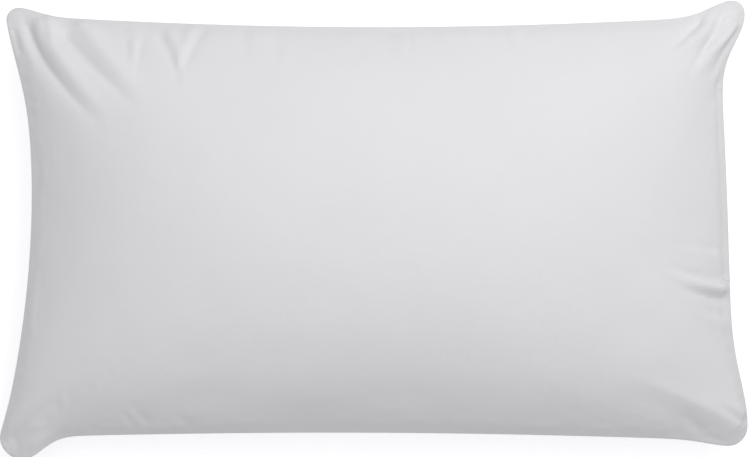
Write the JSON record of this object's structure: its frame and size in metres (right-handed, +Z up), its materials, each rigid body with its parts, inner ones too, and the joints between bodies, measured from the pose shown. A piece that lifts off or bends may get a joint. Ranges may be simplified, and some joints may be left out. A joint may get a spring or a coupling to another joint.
{
  "type": "bed pillow",
  "caption": "Plump oblong bed pillow: two plain cotton panels seamed all round with drawn-out ears, filled with a folded hollow-fibre batt; supports a head on a bed.",
  "frame": {"origin": "under the middle of the bounding box, on the surface the pillow lies on", "axes": "+X along the pillow's length towards the side with the closing seam, +Y across it, +Z up through the front panel"},
  "size_m": [0.7926, 0.4864, 0.18],
  "materials": {
    "cotton": "white plain-woven cotton percale, matt",
    "hollow_fibre": "white carded polyester fibre",
    "thread": "white spun polyester sewing thread"
  },
  "bodies": {
    "root": {"front_panel": "cotton", "back_panel": "cotton", "fibre_batt": "hollow_fibre", "seam_needle_thread": "thread", "seam_bobbin_thread": "thread", "overlock_thread": "thread", "closing_needle_thread": "thread", "closing_bobbin_thread": "thread", "lower_bar_tack": "thread", "upper_bar_tack": "thread"}
  },
  "joints": []
}
